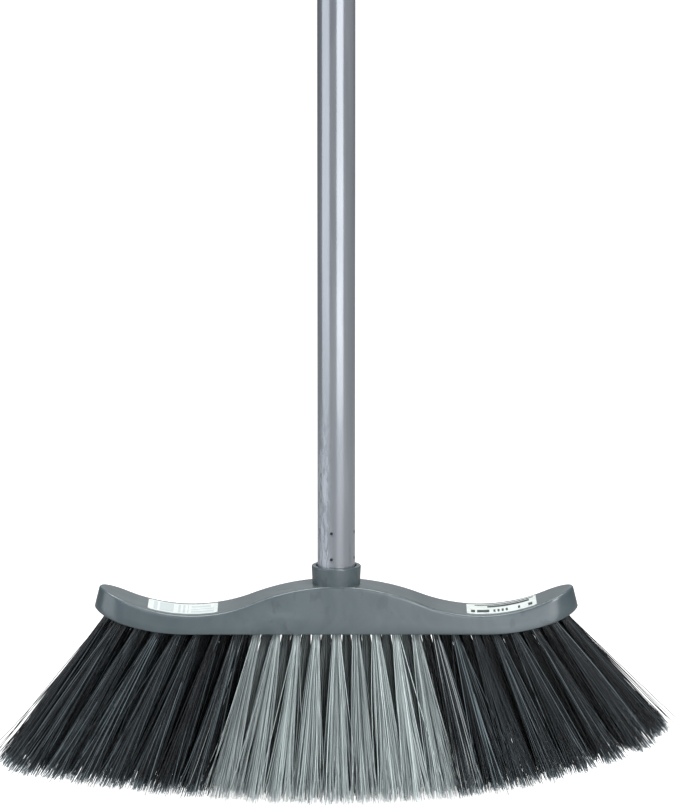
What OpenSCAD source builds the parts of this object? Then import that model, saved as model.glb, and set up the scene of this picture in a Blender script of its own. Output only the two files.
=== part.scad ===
// Upright floor broom: a gull-wing plastic head set with tufts, on a steel handle that screws in.
// Millimetres and degrees. +Z runs up the handle's axis, +X along the head, and the front faces -Y.
// The origin is on the handle's axis, level with the lowest bristle tips.

/* [Head block] */
// Length of the block's outline, at the level of the flat underside
head_length = 292; // [250:1:350]
// Depth of the block's outline, front to back
head_depth = 42.5; // [40:0.5:52]
// Lean of the walls from upright
wall_lean = 14; // [4:0.5:15]
// Thickness of a wing at its thinnest
wing_thickness = 11; // [10:0.1:14]
// Height of the hump that carries the handle
hump_height = 27.5; // [25:0.5:34]
// Distance from the axis to the lowest point of a wing's top
dip_place = 85; // [75:1:100]
// Radius of the dip in a wing's top
dip_radius = 95; // [70:1:120]
// Distance from the axis to where a wing's top runs straight
tip_place = 122; // [112:1:128]
// Half the length of the flat middle of the underside
flat_run = 88; // [70:1:110]
// Radius to which the underside bends up past its flat middle
under_radius = 125; // [100:1:200]

/* [Collar and thread] */
// Height of the collar above the hump
collar_height = 10.3; // [8:0.1:14]
// Wall of the collar round the handle's seat, at the collar's base
collar_wall = 2.3; // [1.8:0.1:3]
// How much further the collar's rim stands out than its base
collar_flare = 0.5; // [0.2:0.1:1]
// Bevel on the collar's rim
rim_bevel = 0.7; // [0.3:0.1:1]
// Depth to which the handle sits in the collar
seat_depth = 5; // [4:0.1:7]
// Outside diameter of the screw thread
thread_d = 18.8; // [16:0.1:19.6]
// Advance of the thread for one turn
thread_pitch = 5.08; // [4:0.01:6]
// Height of the thread's ridge
thread_ridge = 2; // [1.4:0.1:2.4]
// Turns of ridge on the handle's tip
thread_turns = 3.2; // [2.5:0.1:3.4]

/* [Tufts] */
// Height from the lowest bristle tips to the underside
trim_height = 100; // [70:1:130]
// Radius of the line that the tips are trimmed to
trim_radius = 700; // [500:10:1500]
// Spacing of the tufts along a row
tuft_pitch = 11.6; // [10:0.1:14]
// Spacing of the rows, front to back
row_pitch = 9; // [8:0.1:9.6]
// Diameter of a tuft hole
tuft_hole_d = 5; // [4:0.1:6]
// Depth of a tuft hole
tuft_hole_depth = 8; // [6.5:0.1:8.6]
// Width of a tuft at its tip
tuft_tip_d = 13; // [8:0.1:14]
// Sideways spread of the tips, as a share of a tuft's distance from the axis
fan_spread = 0.5; // [0.3:0.01:0.6]
// Front-to-back spread of the tips, as a share of a row's distance from the middle
row_spread = 1; // [0.6:0.05:1.2]
// Light grey tufts on each side of the one in the middle
grey_reach = 4; // [2:1:7]
// Thickness of the staple wire
staple_wire = 0.4; // [0.3:0.05:0.6]

/* [Handle] */
// Outside diameter of the tube
tube_d = 22.2; // [21:0.1:23]
// Wall of the tube
tube_wall = 0.5; // [0.4:0.05:0.8]
// Length of the tube
tube_length = 1219; // [900:1:1500]
// Height of the first ring of stakes above the collar
stake_first = 5.1; // [4:0.1:8]
// Height between the two rings of stakes
stake_gap = 15.6; // [10:0.1:18]
// Diameter of a stake
stake_d = 1.4; // [0.8:0.1:1.8]
// Turn of the first column of stakes from the front
stake_turn = -15; // [-45:1:45]

/* [Hanging cap] */
// Height of the cap above the tube
cap_height = 46; // [38:1:60]
// Thickness of the cap's blade
cap_blade = 9; // [7:0.5:12]
// Diameter of the hanging hole
hang_hole_d = 9; // [6:0.5:11]
// Diameter of the swivel pin
pin_d = 6; // [5:0.1:7]

/* [Labels] */
// Length of a label along the wing
label_length = 41; // [30:0.5:46]
// Width of a label across the wing
label_width = 27; // [20:0.5:30]
// Distance from the axis to the middle of the left label
left_label_place = 90.5; // [85:0.5:96]
// Distance from the axis to the middle of the right label
right_label_place = 97.5; // [85:0.5:98]
// Thickness of a label
label_thickness = 0.15; // [0.1:0.05:0.3]

/* [Hidden] */
$fn = 96;
rows = ["front", "inner_front", "inner_rear", "rear"];
sides = ["left", "middle", "right"];

plastic_grey = [0.44, 0.47, 0.49];
bristle_black = [0.05, 0.055, 0.065];
bristle_grey = [0.58, 0.62, 0.63];
steel_lacquer = [0.55, 0.58, 0.6];
fitting_grey = [0.25, 0.27, 0.3];

// Clearances: the running fits, the press fits and the gaps between the pieces
thread_gap = 0.3;
seat_gap = 0.7;
rest_gap = 0.3;
pin_gap = 0.08;
tuft_gap = 0.05;
staple_bite = 0.3;
floor_gap = 0.5;
beyond = 1;

// Heights on the handle's axis
crest_z = trim_height + hump_height;
collar_z = crest_z + collar_height;
seat_z = collar_z - seat_depth;
ridge_root_w = 0.62 * thread_pitch;
ridge_crest_w = 0.3 * thread_pitch;
core_r = thread_d / 2 - thread_ridge;
thread_relief = 0.6;
ridge_high = seat_z - thread_relief - ridge_root_w / 2;
ridge_low = ridge_high - thread_turns * thread_pitch;
tip_low = ridge_low - ridge_root_w / 2 - thread_relief;
socket_low = tip_low - floor_gap;
shoulder = 1.8;
shoulder_z = seat_z + rest_gap;
tube_z = shoulder_z + shoulder;
tube_top = tube_z + tube_length;

// ---- The head block ----

// The hump's arc would touch both dips' arcs at this radius. It is drawn a little larger, and the
// tips' lines and the underside's arcs stand off a little, so that all of them cross cleanly.
half_length = head_length / 2;
outline_r = head_depth / 2;
end_place = half_length - outline_r;
hump_rise = hump_height - wing_thickness;
touch_radius = (pow(dip_place, 2) + pow(hump_rise, 2)) / (2 * hump_rise) - dip_radius;
touch_place = dip_place * touch_radius / (touch_radius + dip_radius);
hump_radius = 1.01 * touch_radius;
stand_off = 0.05;
dip_centre = [dip_place, wing_thickness + dip_radius];
tip_angle = asin((tip_place - dip_place) / dip_radius);
tip_level = wing_thickness + dip_radius * (1 - cos(tip_angle)) + stand_off;

// How far the underside has risen at x
function under_z(x) =
    abs(x) <= flat_run ? 0
    : max(0, under_radius - stand_off - sqrt(pow(under_radius, 2) - pow(abs(x) - flat_run, 2)));

module solid_outline() {
    reach = half_length + beyond;
    overlap = 1;
    intersection() {
        translate([0, hump_height - hump_radius]) circle(r = hump_radius, $fn = 360);
        translate([-touch_place, 0]) square([2 * touch_place, hump_height + beyond]);
    }
    for (side = [0, 1]) mirror([side, 0]) translate([touch_place - overlap, 0])
        square([reach - touch_place + overlap, dip_radius]);
}

// What is cut away above a wing: its dip, and then the straight run out to its tip
module above_wing() {
    reach = half_length + 2 * beyond;
    translate(dip_centre) circle(r = dip_radius, $fn = 360);
    polygon([
        [tip_place, tip_level],
        [reach, tip_level + (reach - tip_place) * tan(tip_angle)],
        [reach, 2 * dip_radius],
        [tip_place, 2 * dip_radius],
    ]);
}

// What is cut away below a wing
module below_wing() {
    difference() {
        translate([flat_run, -beyond]) square([half_length, under_radius]);
        translate([flat_run, under_radius - stand_off]) circle(r = under_radius, $fn = 360);
    }
}

module front_view() {
    difference() {
        solid_outline();
        for (side = [0, 1]) mirror([side, 0]) {
            above_wing();
            below_wing();
        }
    }
}

// The block's outline from above, with walls that lean in as they rise
module leaning_walls() {
    height = hump_height + collar_height;
    top_r = outline_r - height * tan(wall_lean);
    rotate([90, 0, 90]) translate([0, 0, -end_place]) linear_extrude(2 * end_place)
        polygon([[-outline_r, 0], [outline_r, 0], [top_r, height], [-top_r, height]]);
    for (side = [0, 1]) mirror([side, 0, 0]) translate([end_place, 0, 0]) intersection() {
        cylinder(h = height, r1 = outline_r, r2 = top_r);
        translate([0, -outline_r - beyond, 0]) cube([outline_r + beyond, 2 * (outline_r + beyond), height]);
    }
}

module collar() {
    sunk = 6;
    base_r = tube_d / 2 + seat_gap + collar_wall;
    rim_r = base_r + collar_flare;
    rotate_extrude() polygon([
        [0, crest_z - sunk],
        [base_r, crest_z - sunk],
        [base_r, crest_z],
        [rim_r, collar_z - rim_bevel],
        [rim_r - rim_bevel, collar_z],
        [0, collar_z],
    ]);
}

// A helical ridge about Z. Its middle starts at height z, and grow swells it on every side.
module ridge(z, turns, start, grow) {
    steps = 24;
    total = ceil(turns * steps);
    inner_r = core_r - 0.4;
    outer_r = thread_d / 2 + grow;
    section = [
        [inner_r, -ridge_root_w / 2 - grow],
        [outer_r, -ridge_crest_w / 2 - grow],
        [outer_r, ridge_crest_w / 2 + grow],
        [inner_r, ridge_root_w / 2 + grow],
    ];
    points = [
        for (i = [0:total]) for (p = section)
            let(a = start + 360 * i / steps)
            [p[0] * cos(a), p[0] * sin(a), z + thread_pitch * i / steps + p[1]]
    ];
    walls = [
        for (i = [0:total - 1]) for (j = [0:3])
            let(a = 4 * i + j, b = 4 * i + (j + 1) % 4)
            each [[a, b, a + 4], [b, b + 4, a + 4]]
    ];
    last = 4 * total;
    ends = [[0, 2, 1], [0, 3, 2], [last, last + 1, last + 2], [last, last + 2, last + 3]];
    polyhedron(points = points, faces = concat(walls, ends), convexity = 10);
}

module socket() {
    lead_in = 0.25;
    run_out = 0.9;
    translate([0, 0, socket_low]) cylinder(h = seat_z - socket_low + beyond, r = core_r + thread_gap);
    translate([0, 0, seat_z]) cylinder(h = seat_depth + beyond, d = tube_d + 2 * seat_gap);
    ridge(ridge_low - lead_in * thread_pitch, thread_turns + lead_in + run_out, -360 * lead_in, thread_gap);
}

module head_block() {
    color(plastic_grey) difference() {
        union() {
            translate([0, 0, trim_height]) intersection() {
                rotate([90, 0, 0]) linear_extrude(head_depth + 2 * beyond, center = true) front_view();
                leaning_walls();
            }
            collar();
        }
        socket();
        for (r = [0:len(rows) - 1]) for (s = tuft_steps(r)) at_tuft(s, r)
            translate([0, 0, -2 * beyond]) cylinder(h = tuft_hole_depth + 2 * beyond, d = tuft_hole_d);
    }
}

// ---- The tufts and their staples ----

// The outer rows have a tuft on the axis, and the inner rows stand half a pitch over.
function row_y(r) = (r - (len(rows) - 1) / 2) * row_pitch;
function is_outer(r) = r == 0 || r == len(rows) - 1;
hole_margin = 2.2;
function row_reach(r) =
    end_place + sqrt(pow(outline_r - tuft_hole_d / 2 - hole_margin, 2) - pow(row_y(r), 2));
function tuft_steps(r) =
    let(n = floor(row_reach(r) / tuft_pitch - (is_outer(r) ? 0 : 0.5)))
    is_outer(r) ? [for (i = [-n:n]) i] : [for (i = [-n - 1:n]) i + 0.5];
function side_of(step) =
    step < -grey_reach - 0.2 ? "left"
    : step > grey_reach + 0.2 ? "right"
    : "middle";

// A tuft's own frame stands at the underside, with +Z up its hole.
function root_x(step) = step * tuft_pitch;
function lean_x(step) = atan(fan_spread * root_x(step) / trim_height);
function lean_y(r) = atan(row_spread * row_y(r) / trim_height);
module at_tuft(step, r) {
    x = root_x(step);
    translate([x, row_y(r), trim_height + under_z(x)]) rotate([lean_y(r), -lean_x(step), 0]) children();
}

// A tuft is as long as brings the lowest edge of its tip down to the trim line.
function tuft_length(step, r) =
    let(
        fall = cos(lean_x(step)) * cos(lean_y(r)),
        root_z = trim_height + under_z(root_x(step)),
        tip_x = root_x(step) * (1 + fan_spread),
        trim_z = trim_radius - sqrt(pow(trim_radius, 2) - pow(tip_x, 2)),
        edge = tuft_tip_d / 2 * sqrt(1 - pow(fall, 2))
    )
    (root_z - trim_z - edge) / fall;

shank_d = tuft_hole_d - 2 * tuft_gap;
shank_top = tuft_hole_depth - 0.4;
staple_height = 1.8;
staple_z = tuft_hole_depth - 2.4;

module staple(grow) {
    width = tuft_hole_d + 2 * (staple_bite + grow);
    translate([0, 0, staple_z]) cube([width, staple_wire + 2 * grow, staple_height + 2 * grow], center = true);
}

module tuft(step, r) {
    length = tuft_length(step, r);
    mouth = 0.5;
    at_tuft(step, r) difference() {
        rotate_extrude() polygon([
            [0, -length],
            [tuft_tip_d / 2, -length],
            [shank_d / 2, -mouth],
            [shank_d / 2, shank_top],
            [0, shank_top],
        ]);
        staple(tuft_gap);
    }
}

module tufts(r, side) {
    color(side == "middle" ? bristle_grey : bristle_black)
        for (s = tuft_steps(r)) if (side_of(s) == side) tuft(s, r);
}

module staples(r) {
    color("silver") for (s = tuft_steps(r)) at_tuft(s, r) staple(0);
}

// ---- The labels ----

module label(side, place) {
    color("white") mirror([side < 0 ? 1 : 0, 0, 0]) translate([0, 0, trim_height]) rotate([90, 0, 0])
        linear_extrude(label_width, center = true) intersection() {
            difference() {
                translate(dip_centre) circle(r = dip_radius, $fn = 360);
                translate(dip_centre) circle(r = dip_radius - label_thickness, $fn = 360);
            }
            translate([place - label_length / 2, 0]) square([label_length, hump_height]);
        }
}

module left_label() { label(-1, left_label_place); }
module right_label() { label(1, right_label_place); }

// ---- The handle ----

plug_d = tube_d - 2 * tube_wall;
tip_plug_length = 30;
stake_depth = 0.6;

// The stakes stand in two rings of four, and go through the tube into the tip's plug.
module stakes() {
    for (z = [0, stake_gap]) for (a = [0:90:270])
        translate([0, 0, collar_z + stake_first + z]) rotate([90, 0, stake_turn + a])
            translate([0, 0, plug_d / 2 - stake_depth]) cylinder(h = stake_depth + tube_wall + beyond, d = stake_d);
}

module handle_tube() {
    color(steel_lacquer) difference() {
        translate([0, 0, tube_z]) cylinder(h = tube_length, d = tube_d);
        translate([0, 0, tube_z - beyond]) cylinder(h = tube_length + 2 * beyond, d = plug_d);
        stakes();
    }
}

// The tip's core, shoulder and plug are one turned shape, hollow from the plug's top.
module tip_body() {
    bevel = 1;
    wall = 3;
    plug_end = tube_z + tip_plug_length;
    hollow_z = tube_z + tip_plug_length / 3;
    hollow_r = plug_d / 2 - wall;
    rotate_extrude() polygon([
        [0, tip_low],
        [core_r - bevel, tip_low],
        [core_r, tip_low + bevel],
        [core_r, shoulder_z],
        [tube_d / 2, shoulder_z],
        [tube_d / 2, tube_z],
        [plug_d / 2, tube_z],
        [plug_d / 2, plug_end - bevel],
        [plug_d / 2 - bevel, plug_end],
        [hollow_r, plug_end],
        [hollow_r, hollow_z],
        [0, hollow_z],
    ]);
}

module threaded_tip() {
    color(fitting_grey) difference() {
        union() {
            tip_body();
            ridge(ridge_low, thread_turns, 0, 0);
        }
        stakes();
    }
}

// ---- The top plug, and the hanging cap that swivels on it ----

flange = 2.5;
plug_length = 26;
pin_neck = 8;
pin_bite = 14;
pin_head_d = pin_d + 3;
pin_head_h = 2.5;
head_room = 1;
plug_top = tube_top + flange;
plug_low = tube_top - plug_length;
neck_low = plug_top - pin_neck;
cap_z = plug_top + rest_gap;
cap_foot = 5;
cap_r = tube_d / 2 - 0.3;
hole_z = cap_z + cap_height - cap_r;

module top_plug() {
    neck_r = pin_d / 2 + pin_gap;
    room_r = pin_head_d / 2 + head_room;
    color(fitting_grey) rotate_extrude() polygon([
        [room_r, plug_low],
        [plug_d / 2, plug_low],
        [plug_d / 2, tube_top],
        [tube_d / 2, tube_top],
        [tube_d / 2, plug_top],
        [neck_r, plug_top],
        [neck_r, neck_low],
        [room_r, neck_low],
    ]);
}

module swivel_pin() {
    head_top = neck_low - rest_gap;
    pin_top = cap_z + pin_bite;
    color("silver") rotate_extrude() polygon([
        [0, head_top - pin_head_h],
        [pin_head_d / 2, head_top - pin_head_h],
        [pin_head_d / 2, head_top],
        [pin_d / 2, head_top],
        [pin_d / 2, pin_top],
        [0, pin_top],
    ]);
}

// The cap is a round foot with a blade on it, rounded over at the hanging hole.
module hang_cap() {
    color(fitting_grey) difference() {
        intersection() {
            union() {
                translate([0, 0, cap_z]) cylinder(h = cap_foot, r = cap_r);
                translate([-cap_r, -cap_blade / 2, cap_z]) cube([2 * cap_r, cap_blade, hole_z - cap_z]);
                translate([0, cap_blade / 2, hole_z]) rotate([90, 0, 0]) cylinder(h = cap_blade, r = cap_r);
            }
            translate([0, 0, cap_z]) cylinder(h = cap_height + beyond, r = cap_r);
        }
        translate([0, cap_blade, hole_z]) rotate([90, 0, 0]) cylinder(h = 2 * cap_blade, d = hang_hole_d);
        translate([0, 0, cap_z - beyond]) cylinder(h = pin_bite + beyond, d = pin_d);
    }
}

head_block();
left_label();
right_label();
for (r = [0:len(rows) - 1]) for (s = sides)
    tufts(r, s);
for (r = [0:len(rows) - 1])
    staples(r);
handle_tube();
threaded_tip();
top_plug();
swivel_pin();
hang_cap();
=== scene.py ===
"""Looks of an upright floor broom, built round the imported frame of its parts.

Every length is in metres, in the frame's own axes: +Z up the handle, +X along the head, and the
front towards -Y.
"""

import logging
import math
from dataclasses import dataclass, field
from enum import Enum
from typing import Any, Callable, Sequence

import bmesh
import bpy
from bpy.types import Material, Node, NodeSocket, NodeTree, Object
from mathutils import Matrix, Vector


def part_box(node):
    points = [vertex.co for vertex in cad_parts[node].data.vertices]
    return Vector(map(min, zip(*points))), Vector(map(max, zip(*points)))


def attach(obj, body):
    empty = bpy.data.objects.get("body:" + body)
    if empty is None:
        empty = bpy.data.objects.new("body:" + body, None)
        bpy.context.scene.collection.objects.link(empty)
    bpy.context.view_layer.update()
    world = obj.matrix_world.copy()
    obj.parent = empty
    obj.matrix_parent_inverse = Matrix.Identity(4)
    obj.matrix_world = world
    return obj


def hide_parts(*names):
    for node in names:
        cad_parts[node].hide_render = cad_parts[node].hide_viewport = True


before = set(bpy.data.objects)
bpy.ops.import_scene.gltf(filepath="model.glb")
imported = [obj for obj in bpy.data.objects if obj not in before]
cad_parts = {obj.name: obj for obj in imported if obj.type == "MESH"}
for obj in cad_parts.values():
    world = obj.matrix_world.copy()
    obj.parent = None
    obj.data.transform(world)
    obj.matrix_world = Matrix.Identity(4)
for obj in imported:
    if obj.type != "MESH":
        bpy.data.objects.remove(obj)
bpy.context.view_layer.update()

log = logging.getLogger("broom")
Point = tuple[float, float, float]
Colour = tuple[float, float, float, float]
Shell = tuple[list[Point], list[list[int]]]
BLACK: Colour = (0.0, 0.0, 0.0, 1.0)
WHITE: Colour = (1.0, 1.0, 1.0, 1.0)


class Tone(Enum):
    """The two colours that the bristles come in."""

    BLACK = "black"
    GREY = "grey"


class Part(Enum):
    """The three stretches of a row of tufts, with the tone of each."""

    LEFT = ("left", Tone.BLACK)
    MIDDLE = ("middle", Tone.GREY)
    RIGHT = ("right", Tone.BLACK)

    @property
    def tone(self) -> Tone:
        """The stretch's own tone."""
        return self.value[1]


@dataclass(frozen=True)
class Shading:
    """How light a stretch's filaments are: how few are bright, and the least tone. The few bright
    black filaments are painted highlights, and the right stretch's higher least tone is painted
    sheen.
    """

    contrast: float
    tuft_share: float
    base: float


# The right stretch's least tone above the left's is painted sheen where the key light falls;
# contrast 7.0 keeps few black filaments bright, as painted highlights.
SHADING = {
    Part.LEFT: Shading(7.0, 0.03, 0.015),
    Part.MIDDLE: Shading(1.5, 0.2, 0.22),
    Part.RIGHT: Shading(7.0, 0.03, 0.05),
}


# ---- Node trees ----


class Graph:
    """A node tree, with short calls that add nodes and join them."""

    def __init__(self, tree: NodeTree) -> None:
        """Wraps a tree.

        Args:
            tree: the shader or geometry tree to add to.
        """
        self.tree = tree

    @staticmethod
    def pick(sockets: Any, key: str | int) -> NodeSocket:
        """Finds a socket.

        Args:
            sockets: a node's inputs or outputs.
            key: the socket's place, or its name, in which case the first one in use counts.

        Returns:
            The socket.
        """
        if isinstance(key, int):
            return sockets[key]
        return next(s for s in sockets if s.name == key and s.enabled)

    def add(
        self, kind: str, inputs: dict | None = None, out: str | int = 0, **settings: Any
    ) -> NodeSocket:
        """Adds a node and returns one of its outputs.

        Args:
            kind: the node's type.
            inputs: values, or sockets to link from, by input name or place.
            out: the output to return.
            **settings: the node's own properties.

        Returns:
            The output socket.
        """
        node = self.tree.nodes.new(kind)
        for key, value in settings.items():
            setattr(node, key, value)
        for key, value in (inputs or {}).items():
            self.put(self.pick(node.inputs, key), value)
        return self.pick(node.outputs, out) if len(node.outputs) else node

    def put(self, socket: NodeSocket, value: Any) -> None:
        """Sets an input, or links another node's output to it.

        Args:
            socket: the input.
            value: its value, or the output to link from.
        """
        if isinstance(value, NodeSocket):
            self.tree.links.new(value, socket)
        else:
            socket.default_value = value

    def math(self, operation: str, *values: Any) -> NodeSocket:
        """Adds a Math node with these inputs, in order."""
        return self.add("ShaderNodeMath", dict(enumerate(values)), operation=operation)

    def times(self, a: Any, b: Any) -> NodeSocket:
        """Multiplies two numbers."""
        return self.math("MULTIPLY", a, b)

    def plus(self, a: Any, b: Any) -> NodeSocket:
        """Adds two numbers."""
        return self.math("ADD", a, b)

    def minus(self, a: Any, b: Any) -> NodeSocket:
        """Takes the second number from the first."""
        return self.math("SUBTRACT", a, b)

    def vector(self, operation: str, *values: Any, **named: Any) -> NodeSocket:
        """Adds a Vector Math node.

        Args:
            operation: what it does.
            *values: its inputs, in order.
            **named: inputs given by name.

        Returns:
            The result, which is a number for a length or a dot product.
        """
        inputs = dict(enumerate(values)) | named
        out = "Value" if operation in ("LENGTH", "DOT_PRODUCT") else "Vector"
        return self.add("ShaderNodeVectorMath", inputs, out, operation=operation)

    def scaled(self, vector: Any, by: Any) -> NodeSocket:
        """Multiplies a vector by a number."""
        return self.vector("SCALE", vector, Scale=by)

    def ramp(
        self, value: Any, low: float, high: float, to_low: float = 0.0, to_high: float = 1.0
    ) -> NodeSocket:
        """Maps a value from one range to another, clamped and eased.

        Args:
            value: the number, or the socket to map.
            low: where the first range starts.
            high: where it ends.
            to_low: what its start becomes.
            to_high: what its end becomes.

        Returns:
            The mapped number.
        """
        ends = {"From Min": low, "From Max": high, "To Min": to_low, "To Max": to_high}
        inputs = {"Value": value} | ends
        return self.add("ShaderNodeMapRange", inputs, interpolation_type="SMOOTHSTEP")

    def blend(self, factor: Any, a: Any, b: Any, how: str = "MIX") -> NodeSocket:
        """Mixes two colours."""
        inputs = {"Factor": factor, "A": a, "B": b}
        return self.add("ShaderNodeMix", inputs, "Result", data_type="RGBA", blend_type=how)


@dataclass(frozen=True)
class Slot:
    """A named socket on a node group or a geometry tree."""

    name: str
    kind: str
    value: Any = None

    def make(self, tree: NodeTree, way: str) -> str:
        """Adds the socket to a tree.

        Args:
            tree: the tree to add to.
            way: INPUT or OUTPUT.

        Returns:
            The socket's identifier.
        """
        kind = f"NodeSocket{self.kind}"
        item = tree.interface.new_socket(name=self.name, in_out=way, socket_type=kind)
        if self.value is not None:
            item.default_value = self.value
        return item.identifier


def new_group(
    name: str, ins: Sequence[Slot], outs: Sequence[Slot]
) -> tuple[Graph, Any, Node]:
    """Starts a shader node group.

    Args:
        name: the group's name.
        ins: its inputs.
        outs: its outputs.

    Returns:
        The graph, the inside sockets of its inputs, and its output node.
    """
    tree = bpy.data.node_groups.new(name, "ShaderNodeTree")
    for slot in ins:
        slot.make(tree, "INPUT")
    for slot in outs:
        slot.make(tree, "OUTPUT")
    start = tree.nodes.new("NodeGroupInput")
    return Graph(tree), start.outputs, tree.nodes.new("NodeGroupOutput")


def new_grower(name: str, ins: Sequence[Slot]) -> tuple[Graph, Any, Node, dict[str, str]]:
    """Starts a geometry tree that takes a mesh and gives one back.

    Args:
        name: the tree's name.
        ins: its inputs, after the geometry.

    Returns:
        The graph, the inside sockets of its inputs, its output node, and its inputs' identifiers.
    """
    tree = bpy.data.node_groups.new(name, "GeometryNodeTree")
    shape = Slot("Geometry", "Geometry")
    ids = {slot.name: slot.make(tree, "INPUT") for slot in (shape, *ins)}
    shape.make(tree, "OUTPUT")
    given = tree.nodes.new("NodeGroupInput").outputs
    return Graph(tree), given, tree.nodes.new("NodeGroupOutput"), ids


def fix(node: Node, values: dict[str, Any]) -> None:
    """Sets inputs that are the same all over a surface."""
    for name, value in values.items():
        node.inputs[name].default_value = value


def toned(colour: Colour, by: float, plus: float = 0.0) -> Colour:
    """Makes a colour lighter or darker by a factor and an amount."""
    return tuple(min(1.0, by * c + plus) for c in colour[:3]) + (1.0,)


class Effects:
    """The shader node groups that more than one finish uses."""

    soft: tuple[float, float] = (0.3, 0.7)
    pit_share: float = 0.16
    pit_edge: float = 0.12
    streak: tuple[float, float] = (0.56, 0.66)
    patch: tuple[float, float] = (0.45, 0.62)
    patch_scale: float = 18.0

    def __init__(self) -> None:
        """Builds every group once."""
        self.clouds = self._clouds()
        self.grain = self._grain()
        self.wear = self._wear()

    def _clouds(self) -> NodeTree:
        """Soft drifts of one colour in another, as moulded plastic and lacquer have.

        Returns:
            The group.
        """
        ins = [
            Slot("Vector", "Vector"),
            Slot("Scale", "Float", 20.0),
            Slot("Stretch", "Vector", (1.0, 1.0, 1.0)),
            Slot("Low", "Color"),
            Slot("High", "Color"),
        ]
        outs = [Slot("Color", "Color"), Slot("Mask", "Float")]
        graph, given, end = new_group("clouds", ins, outs)
        place = graph.vector("MULTIPLY", given["Vector"], given["Stretch"])
        inputs = {"Vector": place, "Scale": given["Scale"], "Detail": 4.0, "Distortion": 1.6}
        noise = graph.add("ShaderNodeTexNoise", inputs)
        mask = graph.ramp(noise, *self.soft)
        graph.put(end.inputs["Color"], graph.blend(mask, given["Low"], given["High"]))
        graph.put(end.inputs["Mask"], mask)
        return graph.tree

    def _grain(self) -> NodeTree:
        """A fine skin texture, with a few pits, as a height.

        Returns:
            The group.
        """
        ins = [Slot("Vector", "Vector"), Slot("Scale", "Float", 900.0)]
        ins.append(Slot("Pits", "Float", 0.3))
        graph, given, end = new_group("grain", ins, [Slot("Height", "Float")])
        inputs = {"Vector": given["Vector"], "Scale": given["Scale"], "Detail": 2.0}
        fine = graph.add("ShaderNodeTexNoise", inputs)
        coarse = graph.times(given["Scale"], self.pit_share)
        inputs = {"Vector": given["Vector"], "Scale": coarse}
        cells = graph.add("ShaderNodeTexVoronoi", inputs)
        pit = graph.times(graph.ramp(cells, 0.0, self.pit_edge, 1.0, 0.0), given["Pits"])
        graph.put(end.inputs["Height"], graph.minus(fine, pit))
        return graph.tree

    def _wear(self) -> NodeTree:
        """Thin scuffs that run along one way, as a mask.

        Returns:
            The group.
        """
        ins = [Slot("Vector", "Vector"), Slot("Scale", "Float", 60.0)]
        ins.append(Slot("Stretch", "Vector", (1.0, 1.0, 0.05)))
        graph, given, end = new_group("scuffs", ins, [Slot("Mask", "Float")])
        place = graph.vector("MULTIPLY", given["Vector"], given["Stretch"])
        inputs = {"Vector": place, "Scale": given["Scale"], "Detail": 5.0}
        streak = graph.add("ShaderNodeTexNoise", inputs)
        inputs = {"Vector": given["Vector"], "Scale": self.patch_scale, "Detail": 2.0}
        patch = graph.add("ShaderNodeTexNoise", inputs)
        mask = graph.times(graph.ramp(streak, *self.streak), graph.ramp(patch, *self.patch))
        graph.put(end.inputs["Mask"], mask)
        return graph.tree


class Finish:
    """What every finish shares: a material with its surface, and the group nodes in it."""

    name: str

    def start(self) -> tuple[Material, Graph, Node]:
        """Makes the empty material.

        Returns:
            The material, its graph and its Principled node.
        """
        material = bpy.data.materials.new(self.name)
        material.use_nodes = True
        graph = Graph(material.node_tree)
        return material, graph, material.node_tree.nodes["Principled BSDF"]

    @staticmethod
    def effect(graph: Graph, tree: NodeTree, inputs: dict, out: str) -> NodeSocket:
        """Places a node group in a material.

        Args:
            graph: the material's graph.
            tree: the group.
            inputs: values, or sockets to link from, by input name.
            out: the output to return.

        Returns:
            The output socket.
        """
        node = graph.tree.nodes.new("ShaderNodeGroup")
        node.node_tree = tree
        for key, value in inputs.items():
            graph.put(node.inputs[key], value)
        return node.outputs[out]

    @staticmethod
    def bump(
        graph: Graph, surface: Node, height: Any, strength: float, distance: float
    ) -> None:
        """Gives the surface a bump from a height."""
        inputs = {"Height": height, "Strength": strength, "Distance": distance}
        graph.put(surface.inputs["Normal"], graph.add("ShaderNodeBump", inputs))


@dataclass(frozen=True)
class Moulded(Finish):
    """Injection-moulded plastic: drifting tone, a fine skin and a few scuffs."""

    name: str
    low: Colour
    high: Colour
    roughness: float = 0.42
    gloss: float = 0.1
    coat_rough: float = 0.22
    drift: float = 34.0
    grain: float = 700.0
    depth: float = 0.00006
    bump_strength: float = 0.25
    wear: float = 0.4
    wear_rough: float = 0.14
    lighter: float = 1.35
    darker: float = 0.55
    smudges: float = 150.0

    def material(self, effects: Effects) -> Material:
        """Builds the material.

        Args:
            effects: the shared node groups.

        Returns:
            The material.
        """
        material, graph, surface = self.start()
        place = graph.add("ShaderNodeTexCoord", out="Object")
        inputs = {"Vector": place, "Scale": self.drift, "Low": self.low, "High": self.high}
        drift = self.effect(graph, effects.clouds, inputs, "Color")
        inputs = {"Vector": place, "Stretch": (0.3, 1.0, 1.0)}
        scuff = self.effect(graph, effects.wear, inputs, "Mask")
        inputs = {"Vector": place, "Scale": self.smudges, "Stretch": (1.0, 1.0, 0.7)}
        smudge = self.effect(graph, effects.wear, inputs, "Mask")
        lighter, darker = toned(self.high, self.lighter), toned(self.low, self.darker)
        worn = graph.blend(graph.times(scuff, self.wear), drift, lighter)
        base = graph.blend(graph.times(smudge, self.wear), worn, darker)
        graph.put(surface.inputs["Base Color"], base)
        rough = graph.ramp(scuff, 0.0, 1.0, self.roughness, self.roughness + self.wear_rough)
        graph.put(surface.inputs["Roughness"], rough)
        inputs = {"Vector": place, "Scale": self.grain}
        height = self.effect(graph, effects.grain, inputs, "Height")
        self.bump(graph, surface, height, self.bump_strength, self.depth)
        coat = {"Coat Weight": self.gloss, "Coat Roughness": self.coat_rough}
        fix(surface, {"Specular IOR Level": 0.5} | coat)
        return material


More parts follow.
